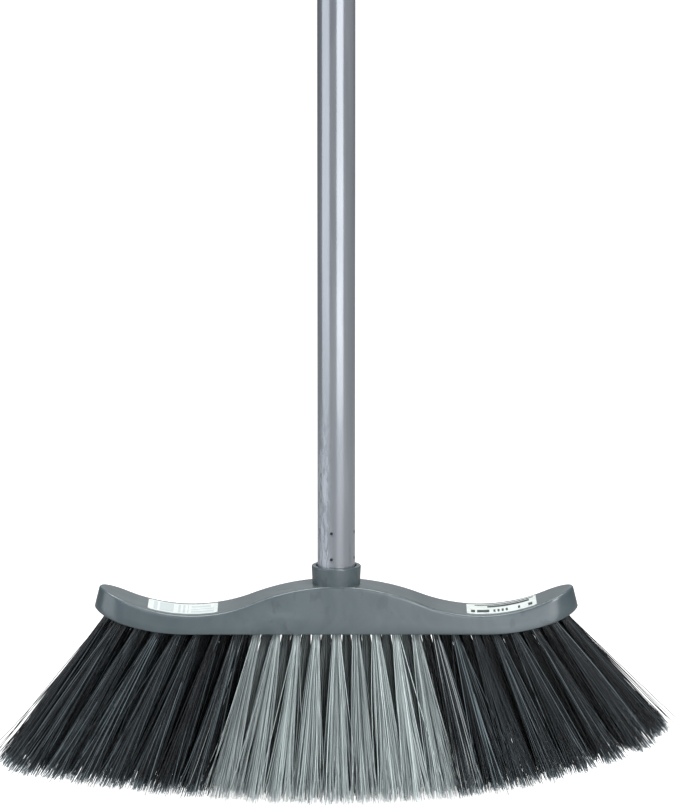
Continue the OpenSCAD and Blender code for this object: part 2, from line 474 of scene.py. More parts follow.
@dataclass(frozen=True)
class Lacquer(Finish):
    """Silver-grey lacquer on a drawn tube, with a loose film that wrinkles near the lower end; on
    the left side the wrinkles get a paler colour as a painted highlight.
    """

    name: str
    low: Colour
    high: Colour
    film_low: float
    film_high: float
    film_and_highlight_side: tuple[float, float] = (-0.008, -0.001)
    painted_highlight_strength: float = 0.85
    highlight_gain: float = 1.7
    roughness: tuple[float, float] = (0.2, 0.5)
    fine_share: float = 0.1
    bump_strength: float = 0.3
    depth: float = 0.0003

    def material(self, effects: Effects) -> Material:
        """Builds the material.

        Args:
            effects: the shared node groups.

        Returns:
            The material.
        """
        material, graph, surface = self.start()
        place = graph.add("ShaderNodeTexCoord", out="Object")
        split = graph.tree.nodes.new("ShaderNodeSeparateXYZ")
        graph.put(split.inputs[0], place)
        tones = {"Low": self.low, "High": self.high}
        inputs = {"Vector": place, "Scale": 90.0, "Stretch": (1.0, 1.0, 0.06)} | tones
        drawn = self.effect(graph, effects.clouds, inputs, "Color")
        near = graph.ramp(split.outputs["Z"], self.film_low, self.film_high, 1.0, 0.0)
        side = graph.ramp(split.outputs["X"], *self.film_and_highlight_side, 1.0, 0.0)
        tones = {"Low": BLACK, "High": WHITE}
        inputs = {"Vector": place, "Scale": 210.0, "Stretch": (1.6, 1.6, 0.32)} | tones
        folds = self.effect(graph, effects.clouds, inputs, "Mask")
        film = graph.times(graph.times(near, side), folds)
        # The paler colour on the wrinkles, kept to the tube's left side, is a painted highlight;
        # the bump and roughness from the same mask are real.
        pale = toned(self.high, self.highlight_gain)
        base = graph.blend(graph.times(film, self.painted_highlight_strength), drawn, pale)
        graph.put(surface.inputs["Base Color"], base)
        graph.put(surface.inputs["Roughness"], graph.ramp(film, 0.0, 1.0, *self.roughness))
        inputs = {"Vector": place, "Scale": 1100.0, "Pits": 0.1}
        fine = self.effect(graph, effects.grain, inputs, "Height")
        height = graph.plus(graph.times(fine, self.fine_share), film)
        self.bump(graph, surface, height, self.bump_strength, self.depth)
        fix(surface, {"Metallic": 0.45, "Coat Weight": 0.8, "Coat Roughness": 0.06})
        return material


@dataclass(frozen=True)
class Filament(Finish):
    """Drawn plastic filament, each one a little lighter or darker than the next; among the black
    filaments the few bright ones are painted highlights.
    """

    name: str
    low: Colour
    high: Colour
    stranger: Colour
    roughness: float
    wear_rough: float = 0.15
    wear_scale: float = 400.0
    tip_from: float = 0.94
    tip_wear: float = 0.6

    def material(self, effects: Effects) -> Material:
        """Builds the material.

        Args:
            effects: the shared node groups.

        Returns:
            The material.
        """
        material, graph, surface = self.start()
        names = ("shade", "along", "other")
        shade, along, other = (
            graph.add("ShaderNodeAttribute", out="Fac", attribute_name=name) for name in names
        )
        place = graph.add("ShaderNodeTexCoord", out="Object")
        # The shade attribute mixes random tone with painted row shade, and on black filaments with
        # painted highlights.
        body = graph.blend(other, graph.blend(shade, self.low, self.high), self.stranger)
        tip = graph.ramp(along, self.tip_from, 1.0, 0.0, self.tip_wear)
        base = graph.blend(tip, body, toned(self.high, 1.2, 0.01))
        graph.put(surface.inputs["Base Color"], base)
        inputs = {"Vector": place, "Scale": self.wear_scale}
        scuff = self.effect(graph, effects.wear, inputs, "Mask")
        rough = graph.ramp(scuff, 0.0, 1.0, self.roughness, self.roughness + self.wear_rough)
        graph.put(surface.inputs["Roughness"], rough)
        fix(surface, {"Specular IOR Level": 0.6})
        return material


@dataclass(frozen=True)
class Printed(Finish):
    """White label stock with plain printed marks, in the label's own UV map."""

    name: str
    ink: Colour
    bars: tuple[tuple[float, float, float, float], ...]
    ladder: tuple[float, float, float, float, float]
    paper: tuple[Colour, Colour] = ((0.6, 0.65, 0.62, 1), (0.72, 0.76, 0.73, 1))
    roughness: tuple[float, float] = (0.38, 0.5)
    bump_strength: float = 0.12
    depth: float = 0.00005

    def material(self, effects: Effects) -> Material:
        """Builds the material.

        Args:
            effects: the shared node groups.

        Returns:
            The material.
        """
        material, graph, surface = self.start()
        split = graph.tree.nodes.new("ShaderNodeSeparateXYZ")
        graph.put(split.inputs[0], graph.add("ShaderNodeTexCoord", out="UV"))
        u, v = split.outputs["X"], split.outputs["Y"]
        left, right, low, high, count = self.ladder
        step = graph.math("FLOOR", graph.times(u, count))
        dice = graph.add("ShaderNodeTexWhiteNoise", {"W": step}, "Value", noise_dimensions="1D")
        chosen = graph.math("GREATER_THAN", dice, 0.5)
        ink = graph.times(chosen, self.within(graph, u, v, left, right, low, high))
        for bar in self.bars:
            ink = graph.math("MAXIMUM", ink, self.within(graph, u, v, *bar))
        place = graph.add("ShaderNodeTexCoord", out="Object")
        inputs = dict(zip(("Low", "High"), self.paper)) | {"Vector": place, "Scale": 120.0}
        base = self.effect(graph, effects.clouds, inputs, "Color")
        graph.put(surface.inputs["Base Color"], graph.blend(ink, base, self.ink))
        graph.put(surface.inputs["Roughness"], graph.ramp(ink, 0.0, 1.0, *self.roughness))
        height = self.effect(graph, effects.grain, {"Vector": place}, "Height")
        self.bump(graph, surface, height, self.bump_strength, self.depth)
        return material

    @staticmethod
    def within(
        graph: Graph, u: Any, v: Any, left: float, right: float, low: float, high: float
    ) -> NodeSocket:
        """Marks a rectangle of the UV map.

        Args:
            graph: the material's graph.
            u: the map's first number.
            v: its second.
            left: where the rectangle starts in u.
            right: where it ends in u.
            low: where it starts in v.
            high: where it ends in v.

        Returns:
            One inside the rectangle, and nought outside it.
        """
        spans = [
            graph.times(graph.math("GREATER_THAN", x, first), graph.math("LESS_THAN", x, last))
            for x, first, last in ((u, left, right), (v, low, high))
        ]
        return graph.times(*spans)


@dataclass(frozen=True)
class Plated(Finish):
    """Zinc-plated or drawn steel."""

    name: str
    tint: Colour
    roughness: float = 0.35
    dull: float = 0.75
    scale: float = 300.0

    def material(self, effects: Effects) -> Material:
        """Builds the material.

        Args:
            effects: the shared node groups.

        Returns:
            The material.
        """
        material, graph, surface = self.start()
        place = graph.add("ShaderNodeTexCoord", out="Object")
        low = toned(self.tint, self.dull)
        inputs = {"Vector": place, "Scale": self.scale, "Low": low, "High": self.tint}
        base = self.effect(graph, effects.clouds, inputs, "Color")
        graph.put(surface.inputs["Base Color"], base)
        fix(surface, {"Metallic": 1.0, "Roughness": self.roughness})
        return material


# ---- Mesh helpers ----


def make_object(
    name: str, points: Sequence[Point], faces: Sequence[Sequence[int]], material: Material | None
) -> Object:
    """Makes a mesh object at the origin.

    Args:
        name: the piece's name.
        points: its vertices, in the frame.
        faces: its faces, by vertex number.
        material: its finish, if it has one yet.

    Returns:
        The new object.
    """
    mesh = bpy.data.meshes.new(name)
    mesh.from_pydata([tuple(p) for p in points], [], [tuple(f) for f in faces])
    mesh.validate()
    if material is not None:
        mesh.materials.append(material)
    piece = bpy.data.objects.new(name, mesh)
    bpy.context.scene.collection.objects.link(piece)
    return piece


def turned(profile: Sequence[tuple[float, float]], steps: int) -> Shell:
    """Turns a profile about the Z axis into a closed shell.

    Args:
        profile: points (radius, height), in order up the outside, from axis to axis.
        steps: faces round the axis.

    Returns:
        The points and faces.
    """
    points: list[Point] = [(0.0, 0.0, profile[0][1])]
    inner = profile[1:-1]
    for r, z in inner:
        for k in range(steps):
            a = math.tau * k / steps
            points.append((r * math.cos(a), r * math.sin(a), z))
    points.append((0.0, 0.0, profile[-1][1]))
    last = len(points) - 1
    faces: list[list[int]] = []
    for k in range(steps):
        n = (k + 1) % steps
        faces.append([0, 1 + n, 1 + k])
        for i in range(len(inner) - 1):
            a, b = 1 + i * steps, 1 + (i + 1) * steps
            faces.append([a + k, a + n, b + n, b + k])
        top = 1 + (len(inner) - 1) * steps
        faces.append([top + k, top + n, last])
    return points, faces


def rounded(
    profile: Sequence[tuple[float, float]], radius: float, steps: int = 4
) -> list[tuple[float, float]]:
    """Rounds the corners of an open profile, apart from its two ends.

    Args:
        profile: the corner points.
        radius: how far along each side a corner's rounding starts.
        steps: pieces in each rounding.

    Returns:
        The rounded profile.
    """
    out = [profile[0]]
    for before, here, after in zip(profile, profile[1:], profile[2:]):
        p, q, s = Vector(before), Vector(here), Vector(after)
        reach = min(radius, 0.45 * (p - q).length, 0.45 * (s - q).length)
        a = q + (p - q).normalized() * reach
        b = q + (s - q).normalized() * reach
        for k in range(steps + 1):
            t = k / steps
            out.append(tuple(a * (1 - t) ** 2 + q * 2 * t * (1 - t) + b * t * t))
    out.append(profile[-1])
    return out


def apply_modifiers(piece: Object) -> None:
    """Turns a piece and its modifiers into a plain mesh.

    Args:
        piece: the piece to finish.
    """
    graph = bpy.context.evaluated_depsgraph_get()
    graph.update()
    mesh = bpy.data.meshes.new_from_object(piece.evaluated_get(graph))
    piece.modifiers.clear()
    piece.data = mesh
    mesh.name = piece.name


def smooth(piece: Object, angle: float = 35.0) -> None:
    """Shades a piece smooth, apart from edges sharper than an angle in degrees."""
    piece.data.polygons.foreach_set("use_smooth", [True] * len(piece.data.polygons))
    piece.data.set_sharp_from_angle(angle=math.radians(angle))


def store(piece: Object, name: str, kind: str, values: Sequence[float]) -> None:
    """Stores a number or a vector on each of a mesh's points."""
    layer = piece.data.attributes.new(name, kind, "POINT")
    layer.data.foreach_set("vector" if kind == "FLOAT_VECTOR" else "value", values)


def grow(piece: Object, tree: NodeTree, ids: dict[str, str], values: dict[str, Any]) -> None:
    """Runs a geometry tree on a piece, and keeps the result as its mesh.

    Args:
        piece: the piece.
        tree: the geometry tree.
        ids: the identifier of each of the tree's inputs.
        values: what each input gets, by name.
    """
    modifier = piece.modifiers.new("grow", "NODES")
    modifier.node_group = tree
    for name, value in values.items():
        modifier[ids[name]] = value
    apply_modifiers(piece)


def carve(piece: Object, tool: Object, how: str) -> None:
    """Joins a tool to a piece, or cuts it away, and removes the tool.

    Args:
        piece: the piece to change.
        tool: the shape to join or cut away.
        how: UNION or DIFFERENCE.
    """
    cut = piece.modifiers.new("carve", "BOOLEAN")
    cut.operation = how
    cut.solver = "EXACT"
    cut.object = tool
    apply_modifiers(piece)
    bpy.data.objects.remove(tool)


# ---- The broom's sub-assemblies ----


@dataclass
class HeadBlock:
    """The gull-wing block with its collar, its socket and its tuft holes."""

    length: float = 0.292
    depth: float = 0.0425
    lean: float = math.radians(14.0)
    base_z: float = field(default_factory=lambda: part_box("head_block")[0][2])
    wing: float = 0.011
    hump: float = 0.0275
    dip_x: float = 0.085
    dip_r: float = 0.095
    tip_x: float = 0.122
    flat_x: float = 0.088
    under_r: float = 0.125
    edge: float = 0.0019
    foot: float = 0.0011
    under_in: float = 0.003
    top_in: float = 0.0012
    foot_soft: float = 0.3
    wall_at: tuple[float, ...] = (0.33, 0.67, 0.93)
    edge_steps: int = 6
    settle_steps: int = 12
    collar_high: float = 0.0103
    collar_sunk: float = 0.008
    collar_straight: float = 0.0004
    rim_round: float = 0.0011
    lead: float = 0.0009
    lead_deep: float = 0.0005
    clear: float = 0.0006
    collar_base_r: float = 0.0141
    collar_rim_r: float = 0.0146
    seat_deep: float = 0.005
    seat_r: float = 0.0118
    bore_r: float = 0.0098
    socket_z: float = 0.1115
    across: int = 96
    round_end: int = 16
    around: int = 96

    def outline_r(self, rise: float) -> float:
        """The outline's half depth at a height above the underside."""
        return self.depth / 2 - rise * math.tan(self.lean)

    @property
    def end_x(self) -> float:
        """Where the outline's straight sides end."""
        return (self.length - self.depth) / 2

    def top(self, x: float) -> float:
        """Height of the top above the flat underside.

        Args:
            x: the place along the head.

        Returns:
            The height: a round crest, a round dip, and a straight rise to the tip.
        """
        x = abs(x)
        rise = self.hump - self.wing
        touch_r = (self.dip_x ** 2 + rise ** 2) / (2 * rise) - self.dip_r
        touch_x = self.dip_x * touch_r / (touch_r + self.dip_r)
        if x <= touch_x:
            return self.hump - touch_r + math.sqrt(touch_r ** 2 - x ** 2)
        if x <= self.tip_x:
            return self.wing + self.dip_r - math.sqrt(self.dip_r ** 2 - (x - self.dip_x) ** 2)
        run = (self.tip_x - self.dip_x) / self.dip_r
        start = self.wing + self.dip_r * (1 - math.sqrt(1 - run ** 2))
        return start + (x - self.tip_x) * run / math.sqrt(1 - run ** 2)

    def under(self, x: float) -> float:
        """Height of the underside above its flat middle."""
        past = max(0.0, abs(x) - self.flat_x)
        return self.under_r - math.sqrt(self.under_r ** 2 - past ** 2)

    def stations(self) -> list[tuple[float, float, float]]:
        """The outline's stations from the left end along the front to the right end.

        Returns:
            For each, the x of its centre and the two parts of its outward direction.
        """
        found = []
        for k in range(self.round_end):
            a = math.pi / 2 * k / self.round_end
            found.append((-self.end_x, -math.cos(a), -math.sin(a)))
        for k in range(self.across + 1):
            found.append((self.end_x * (2 * k / self.across - 1), 0.0, -1.0))
        for k in range(self.round_end - 1, -1, -1):
            a = math.pi / 2 * k / self.round_end
            found.append((self.end_x, math.cos(a), -math.sin(a)))
        return found

    def section(self, cx: float, nx: float, ny: float) -> list[Point]:
        """The outline of one station from the underside, up the wall and over the top edge.

        Args:
            cx: the x of the station's centre.
            nx: the outward direction's x.
            ny: the outward direction's y.

        Returns:
            The points, in the frame.
        """

        def at(rise: float, inset: float) -> Point:
            """The station's point at a rise, set in from its wall."""
            r = self.outline_r(rise) - inset
            return (cx + nx * r, ny * r, self.base_z + rise)

        def level(height: Callable[[float], float], inset: float) -> float:
            """Finds the rise at which the leaning station meets a surface.

            Args:
                height: the surface's height at an x.
                inset: how far in from the wall to look.

            Returns:
                The rise.
            """
            rise = height(cx)
            for _ in range(self.settle_steps):
                rise = height(cx + nx * (self.outline_r(rise) - inset))
            return rise

        low = level(self.under, 0.0)
        high = level(self.top, 0.0)
        points = [at(level(self.under, inset), inset) for inset in (self.under_in, self.foot)]
        soft = self.foot_soft * self.foot
        points += [at(low + soft, soft), at(low + self.foot, 0.0)]
        foot = high - self.edge
        points += [at(low + self.foot + (foot - low - self.foot) * t, 0.0) for t in self.wall_at]
        start, corner = Vector(at(foot, 0.0)), Vector(at(high, 0.0))
        finish = Vector(at(level(self.top, self.edge), self.edge))
        for k in range(self.edge_steps + 1):
            t = k / self.edge_steps
            points.append(tuple(start * (1 - t) ** 2 + corner * 2 * t * (1 - t) + finish * t * t))
        inner = self.edge + self.top_in
        points.append(at(level(self.top, inner), inner))
        return points

    def shell(self) -> Shell:
        """Builds the block's closed shell.

        Returns:
            The points and faces.
        """
        front = [self.section(*s) for s in self.stations()]
        count = len(front) - 1
        back = [[(x, -y, z) for x, y, z in front[i]] for i in range(count - 1, 0, -1)]
        rings = front + back
        round_all, layers = len(rings), len(rings[0])
        points = [p for ring in rings for p in ring]
        faces = []
        for j in range(round_all):
            n = (j + 1) % round_all
            for k in range(layers - 1):
                a, b = j * layers + k, n * layers + k
                faces.append([a, b, b + 1, a + 1])
        for layer, flip in ((0, True), (layers - 1, False)):
            for i in range(count):
                a, b = i, i + 1
                c, d = (round_all - i - 1) % round_all, (round_all - i) % round_all
                loop = [a, b] + ([c] if c != b else []) + ([d] if d != a else [])
                face = [v * layers + layer for v in loop]
                faces.append(face[::-1] if flip else face)
        return points, faces

    def collar_shell(self) -> Shell:
        """Builds the collar with its rounded rim, still solid.

        Returns:
            The points and faces.
        """
        crest = self.base_z + self.hump
        rim = crest + self.collar_high
        outside = [
            (0.0, crest - self.collar_sunk),
            (self.collar_base_r, crest - self.collar_sunk),
            (self.collar_base_r, crest + self.collar_straight),
            (self.collar_rim_r, rim),
            (self.seat_r + self.lead, rim),
            (0.0, rim),
        ]
        return turned(rounded(outside, self.rim_round), self.around)

    def socket_shell(self) -> Shell:
        """Builds what is cut out for the handle: the seat, its lead-in and the bore.

        Returns:
            The points and faces.
        """
        rim = self.base_z + self.hump + self.collar_high
        seat = rim - self.seat_deep
        return turned([
            (0.0, self.socket_z),
            (self.bore_r, self.socket_z),
            (self.bore_r, seat),
            (self.seat_r, seat),
            (self.seat_r, rim - self.lead_deep),
            (self.seat_r + self.lead, rim + self.clear),
            (0.0, rim + self.clear),
        ], self.around)

    def build(self, tufts: "TuftRows", material: Material) -> Object:
        """Builds the block and cuts its holes.

        Args:
            tufts: the rows whose holes it has.
            material: its finish.

        Returns:
            The finished piece.
        """
        piece = make_object("head_block_skin", *self.shell(), material)
        carve(piece, make_object("collar", *self.collar_shell(), material), "UNION")
        carve(piece, make_object("socket", *self.socket_shell(), material), "DIFFERENCE")
        carve(piece, make_object("holes", *tufts.hole_shells(), material), "DIFFERENCE")
        smooth(piece)
        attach(piece, "head")
        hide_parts("head_block")
        return piece


@dataclass
class TuftRows:
    """The bristles: four staggered rows of tufts, each a bunch of single filaments."""

    head: HeadBlock
    names: tuple[str, ...] = ("front", "inner_front", "inner_rear", "rear")
    pitch: float = 0.0116
    row_pitch: float = 0.009
    hole_r: float = 0.0025
    hole_deep: float = 0.008
    hole_over: float = 0.003
    hole_sides: int = 14
    margin: float = 0.0022
    fan: float = 0.5
    row_fan: float = 1.0
    right_gather: float = -0.91
    right_splay: float = 1.05
    grey_reach: float = 4.2
    filaments: int = 120
    filament_r: float = 0.00024
    mouth_r: float = 0.0021
    tip_r: float = 0.0094
    trim_r: float = 0.7
    trim_rounds: int = 3
    end_lift: float = 0.0087
    half_sweep: float = 0.195
    ragged: float = 0.0046
    ragged_power: float = 2.2
    scatter: float = 0.0034
    loose: tuple[float, float, float] = (0.35, 3.4, 7.0)
    fill_power: float = 0.6
    bow: float = 0.0032
    bow_range: tuple[float, float] = (-1.0, 0.35)
    bow_stray: float = 0.35
    points: int = 6
    sides: int = 3
    taper: tuple[float, float] = (6.0, 0.25)
    mixed_at: tuple[float, float] = (0.5, 0.7)
    mixed_share: tuple[float, float] = (0.12, 0.4)
    shades: int = 5
    # Inner rows get a darker filament tone: painted shade between the rows.
    inner_row_painted_shade: float = 0.35
    row_seed: int = 100
    part_seed: int = 10

    def is_outer(self, row: int) -> bool:
        """Whether a row is the front or the rear one."""
        return row in (0, len(self.names) - 1)

    def row_y(self, row: int) -> float:
        """A row's distance from the middle."""
        return (row - (len(self.names) - 1) / 2) * self.row_pitch

    def steps(self, row: int) -> list[float]:
        """The tufts of a row, in pitches from the middle.

        Args:
            row: the row's number from the front.

        Returns:
            Each tuft's step, from left to right.
        """
        outer = self.is_outer(row)
        room = self.head.depth / 2 - self.hole_r - self.margin
        reach = self.head.end_x + math.sqrt(room ** 2 - self.row_y(row) ** 2)
        shift = 0.0 if outer else 0.5
        n = math.floor(reach / self.pitch - shift + 1e-6)
        return [i + shift for i in range(-n - (0 if outer else 1), n + 1)]

    def part_of(self, step: float) -> Part:
        """Finds the stretch that a tuft belongs to.

        Args:
            step: the tuft, in pitches from the middle.

        Returns:
            The stretch.
        """
        if abs(step) <= self.grey_reach:
            return Part.MIDDLE
        return Part.LEFT if step < 0 else Part.RIGHT

    def mix(self, step: float) -> float:
        """The share of a tuft's filaments in the other tone, most at the change of tone.

        Args:
            step: the tuft, in pitches from the middle.

        Returns:
            The share, from nought to one.
        """
        middle, width = self.mixed_at
        past = abs(step) - self.grey_reach
        return max(0.0, 1.0 - abs(past - middle) / width) * self.mixed_share[step > 0]

    def root(self, row: int, step: float) -> Vector:
        """Where a tuft leaves the underside."""
        x = step * self.pitch
        return Vector((x, self.row_y(row), self.head.base_z + self.head.under(x)))

    def reach(self, row: int, step: float) -> Vector:
        """From a tuft's root to the middle of its tip, before trimming.

        Args:
            row: the row's number from the front.
            step: the tuft, in pitches from the middle.

        Returns:
            The way and the distance.
        """
        root = self.root(row, step)
        along = max(0.0, root.x / self.head.end_x)
        fan = self.fan * (1 + self.right_gather * along + self.right_splay * along ** 2)
        slope = Vector((fan * root.x, self.row_fan * root.y, -self.head.base_z)) / self.head.base_z
        return slope * root.z

    def hole_shells(self) -> Shell:
        """Makes every tuft hole, as a closed cylinder.

        Returns:
            The points and faces.
        """
        points: list[Point] = []
        faces: list[list[int]] = []
        sides = self.hole_sides
        for row in range(len(self.names)):
            for step in self.steps(row):
                root, down = self.root(row, step), self.reach(row, step).normalized()
                turn = Vector((0, 0, -1)).rotation_difference(down).to_matrix()
                first = len(points)
                for z in (self.hole_over, -self.hole_deep):
                    for k in range(sides):
                        a = math.tau * k / sides
                        x, y = self.hole_r * math.cos(a), self.hole_r * math.sin(a)
                        points.append(tuple(root + turn @ Vector((x, y, -z))))
                low = list(range(first, first + sides))
                high = list(range(first + sides, first + 2 * sides))
                faces += [low[::-1], high]
                for k in range(sides):
                    n = (k + 1) % sides
                    faces.append([low[k], low[n], high[n], high[k]])
        return points, faces

    def tree(self) -> tuple[NodeTree, dict[str, str]]:
        """The geometry tree that grows filaments from a mesh of tuft roots.

        Returns:
            The tree, and the identifier of each of its named inputs.
        """
        sizes = (
            "Filament Radius", "Mouth Radius", "Tip Radius", "Trim Radius", "End Lift",
            "Half Sweep", "Ragged", "Scatter", "Bow", "Contrast", "Tuft Share", "Base Shade", "Dim",
        )
        slots = [Slot("Filaments", "Int"), *(Slot(name, "Float") for name in sizes)]
        slots += [Slot("Seed", "Int"), Slot("Material", "Material")]
        g, given, end, ids = new_grower("filaments", slots)
        index = g.add("GeometryNodeInputIndex")

        def chance(shift: int, low: Any, high: Any, kind: str = "FLOAT") -> NodeSocket:
            """Draws a number or a vector for each filament.

            Args:
                shift: what is added to the seed, which differs for each draw.
                low: the least value.
                high: the most.
                kind: FLOAT or FLOAT_VECTOR.

            Returns:
                The value.
            """
            seed = g.plus(given["Seed"], float(shift))
            inputs = {"Min": low, "Max": high, "ID": index, "Seed": seed}
            return g.add("FunctionNodeRandomValue", inputs, "Value", data_type=kind)

        def stray(shift: int) -> NodeSocket:
            """A vector for each filament, up to one either way."""
            return chance(shift, (-1, -1, -1), (1, 1, 1), "FLOAT_VECTOR")

        def keep(geometry: Any, name: str, kind: str, value: Any) -> NodeSocket:
            """Stores a value on each point.

            Args:
                geometry: what has the points.
                name: the attribute's name.
                kind: FLOAT or FLOAT_VECTOR.
                value: the value.

            Returns:
                The geometry with the attribute.
            """
            inputs = {"Geometry": geometry, "Name": name, "Value": value}
            settings = {"data_type": kind, "domain": "POINT"}
            return g.add("GeometryNodeStoreNamedAttribute", inputs, **settings)

        def recall(name: str, kind: str = "FLOAT_VECTOR") -> NodeSocket:
            """Reads a stored value."""
            inputs = {"Name": name}
            return g.add("GeometryNodeInputNamedAttribute", inputs, "Attribute", data_type=kind)

        def part(vector: Any, axis: str) -> NodeSocket:
            """One number of a vector."""
            return g.add("ShaderNodeSeparateXYZ", {0: vector}, axis)

        inputs = {"Geometry": given["Geometry"], "Amount": given["Filaments"]}
        copies = g.add("GeometryNodeDuplicateElements", inputs, domain="POINT")
        place, reach = g.add("GeometryNodeInputPosition"), recall("reach")
        side = g.vector("NORMALIZE", g.vector("CROSS_PRODUCT", reach, (0.0, 1.0, 0.0)))
        fore = g.vector("NORMALIZE", g.vector("CROSS_PRODUCT", reach, side))
        turn = chance(1, 0.0, math.tau)
        out = g.math("POWER", chance(2, 0.0, 1.0), self.fill_power)
        spoke = g.vector(
            "ADD",
            g.scaled(side, g.times(g.math("COSINE", turn), out)),
            g.scaled(fore, g.times(g.math("SINE", turn), out)),
        )
        start = g.vector("ADD", place, g.scaled(spoke, given["Mouth Radius"]))
        least, more, power = self.loose
        rare = g.math("POWER", chance(3, 0.0, 1.0), power)
        loose = g.plus(least, g.times(rare, more))
        drift = g.scaled(stray(4), g.times(given["Scatter"], loose))
        tip = g.vector("ADD", g.vector("ADD", place, reach), g.scaled(spoke, given["Tip Radius"]))
        aim = g.vector("ADD", tip, drift)
        rare = g.math("POWER", chance(5, 0.0, 1.0), self.ragged_power)
        rough = g.times(given["Ragged"], rare)
        start_z, aim_z = part(start, "Z"), part(aim, "Z")
        finish = aim
        for _ in range(self.trim_rounds):
            x = part(finish, "X")
            square = g.minus(g.math("POWER", given["Trim Radius"], 2.0), g.times(x, x))
            low_z = g.minus(given["Trim Radius"], g.math("SQRT", square))
            share = g.math("DIVIDE", x, given["Half Sweep"])
            lift = g.times(given["End Lift"], g.times(share, g.times(share, share)))
            trim = g.plus(g.plus(low_z, lift), rough)
            cut = g.math("DIVIDE", g.minus(start_z, trim), g.minus(start_z, aim_z))
            finish = g.vector("ADD", start, g.scaled(g.vector("SUBTRACT", aim, start), cut))
        bow = g.vector(
            "ADD",
            g.scaled(spoke, g.times(given["Bow"], chance(6, *self.bow_range))),
            g.scaled(stray(7), g.times(given["Bow"], self.bow_stray)),
        )
        tuft = recall("tuft_shade", "FLOAT")
        # The least tone is the stretch's own, raised on the right black stretch as painted sheen.
        base = given["Base Shade"]
        # A high contrast power leaves most filaments at the least tone and a few bright: on the
        # black stretches these bright filaments are painted highlights.
        single = g.math("POWER", chance(8, 0.0, 1.0), given["Contrast"])
        raised = g.math("MULTIPLY_ADD", g.minus(1.0, base), single, base)
        tinted = g.math("MULTIPLY_ADD", g.minus(tuft, raised), given["Tuft Share"], raised)
        # Multiplying by the row factor darkens the inner rows: painted shade.
        shade = g.times(tinted, given["Dim"])
        other = g.math("LESS_THAN", chance(9, 0.0, 1.0), recall("mixed", "FLOAT"))
        points = copies
        for name, value in (("start", start), ("finish", finish), ("bow", bow)):
            points = keep(points, name, "FLOAT_VECTOR", value)
        for name, value in (("shade", shade), ("other", other)):
            points = keep(points, name, "FLOAT", value)
        line = g.add("GeometryNodeCurvePrimitiveLine")
        line = g.add("GeometryNodeResampleCurve", {"Curve": line, "Count": self.points})
        inputs = {"Points": points, "Instance": line}
        placed = g.add("GeometryNodeInstanceOnPoints", inputs)
        strands = g.add("GeometryNodeRealizeInstances", {"Geometry": placed})
        t = g.add("GeometryNodeSplineParameter", out="Factor")
        sag = g.times(g.times(t, 4.0), g.minus(1.0, t))
        run = g.vector("SUBTRACT", recall("finish"), recall("start"))
        straight = g.vector("ADD", recall("start"), g.scaled(run, t))
        path = g.vector("ADD", straight, g.scaled(recall("bow"), sag))
        strands = g.add("GeometryNodeSetPosition", {"Geometry": strands, "Position": path})
        strands = keep(strands, "along", "FLOAT", t)
        power, loss = self.taper
        taper = g.minus(1.0, g.times(g.math("POWER", t, power), loss))
        thick = g.times(given["Filament Radius"], taper)
        inputs = {"Resolution": self.sides, "Radius": 1.0}
        ring = g.add("GeometryNodeCurvePrimitiveCircle", inputs, mode="RADIUS")
        inputs = {"Curve": strands, "Profile Curve": ring, "Scale": thick, "Fill Caps": True}
        solid = g.add("GeometryNodeCurveToMesh", inputs)
        for name in ("start", "finish", "bow", "reach", "tuft_shade", "mixed"):
            solid = g.add("GeometryNodeRemoveAttribute", {"Geometry": solid, "Name": name})
        solid = g.add("GeometryNodeSetShadeSmooth", {"Geometry": solid})
        solid = g.add("GeometryNodeRealizeInstances", {"Geometry": solid})
        inputs = {"Geometry": solid, "Material": given["Material"]}
        g.put(end.inputs["Geometry"], g.add("GeometryNodeSetMaterial", inputs))
        return g.tree, ids

    def build(self, materials: dict[Tone, Material]) -> list[Object]:
        """Grows every row's filaments, one piece for each stretch of a row.

        Args:
            materials: the finish of each tone.

        Returns:
            The finished pieces.
        """
        tree, ids = self.tree()
        pieces = []
        for row, name in enumerate(self.names):
            for number, part in enumerate(Part):
                steps = [s for s in self.steps(row) if self.part_of(s) is part]
                roots = [self.root(row, s) for s in steps]
                piece = make_object(f"{name}_bristles_{part.value[0]}", roots, [], None)
                ways = [c for s in steps for c in self.reach(row, s)]
                count = self.shades
                tones = [(7 * k + 3 * row) % count / (count - 1) for k in range(len(steps))]
                store(piece, "reach", "FLOAT_VECTOR", ways)
                store(piece, "tuft_shade", "FLOAT", tones)
                store(piece, "mixed", "FLOAT", [self.mix(s) for s in steps])
                shading = SHADING[part]
                grow(piece, tree, ids, {
                    "Filaments": self.filaments,
                    "Filament Radius": self.filament_r,
                    "Mouth Radius": self.mouth_r,
                    "Tip Radius": self.tip_r,
                    "Trim Radius": self.trim_r,
                    "End Lift": self.end_lift,
                    "Half Sweep": self.half_sweep,
                    "Ragged": self.ragged,
                    "Scatter": self.scatter,
                    "Bow": self.bow,
                    "Contrast": shading.contrast,
                    "Tuft Share": shading.tuft_share,
                    "Base Shade": shading.base,
                    "Dim": 1.0 if self.is_outer(row) else self.inner_row_painted_shade,
                    "Seed": self.row_seed * row + self.part_seed * number,
                    "Material": materials[part.tone],
                })
                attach(piece, "head")
                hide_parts(f"{name}_tufts_{part.value[0]}")
                pieces.append(piece)
        return pieces


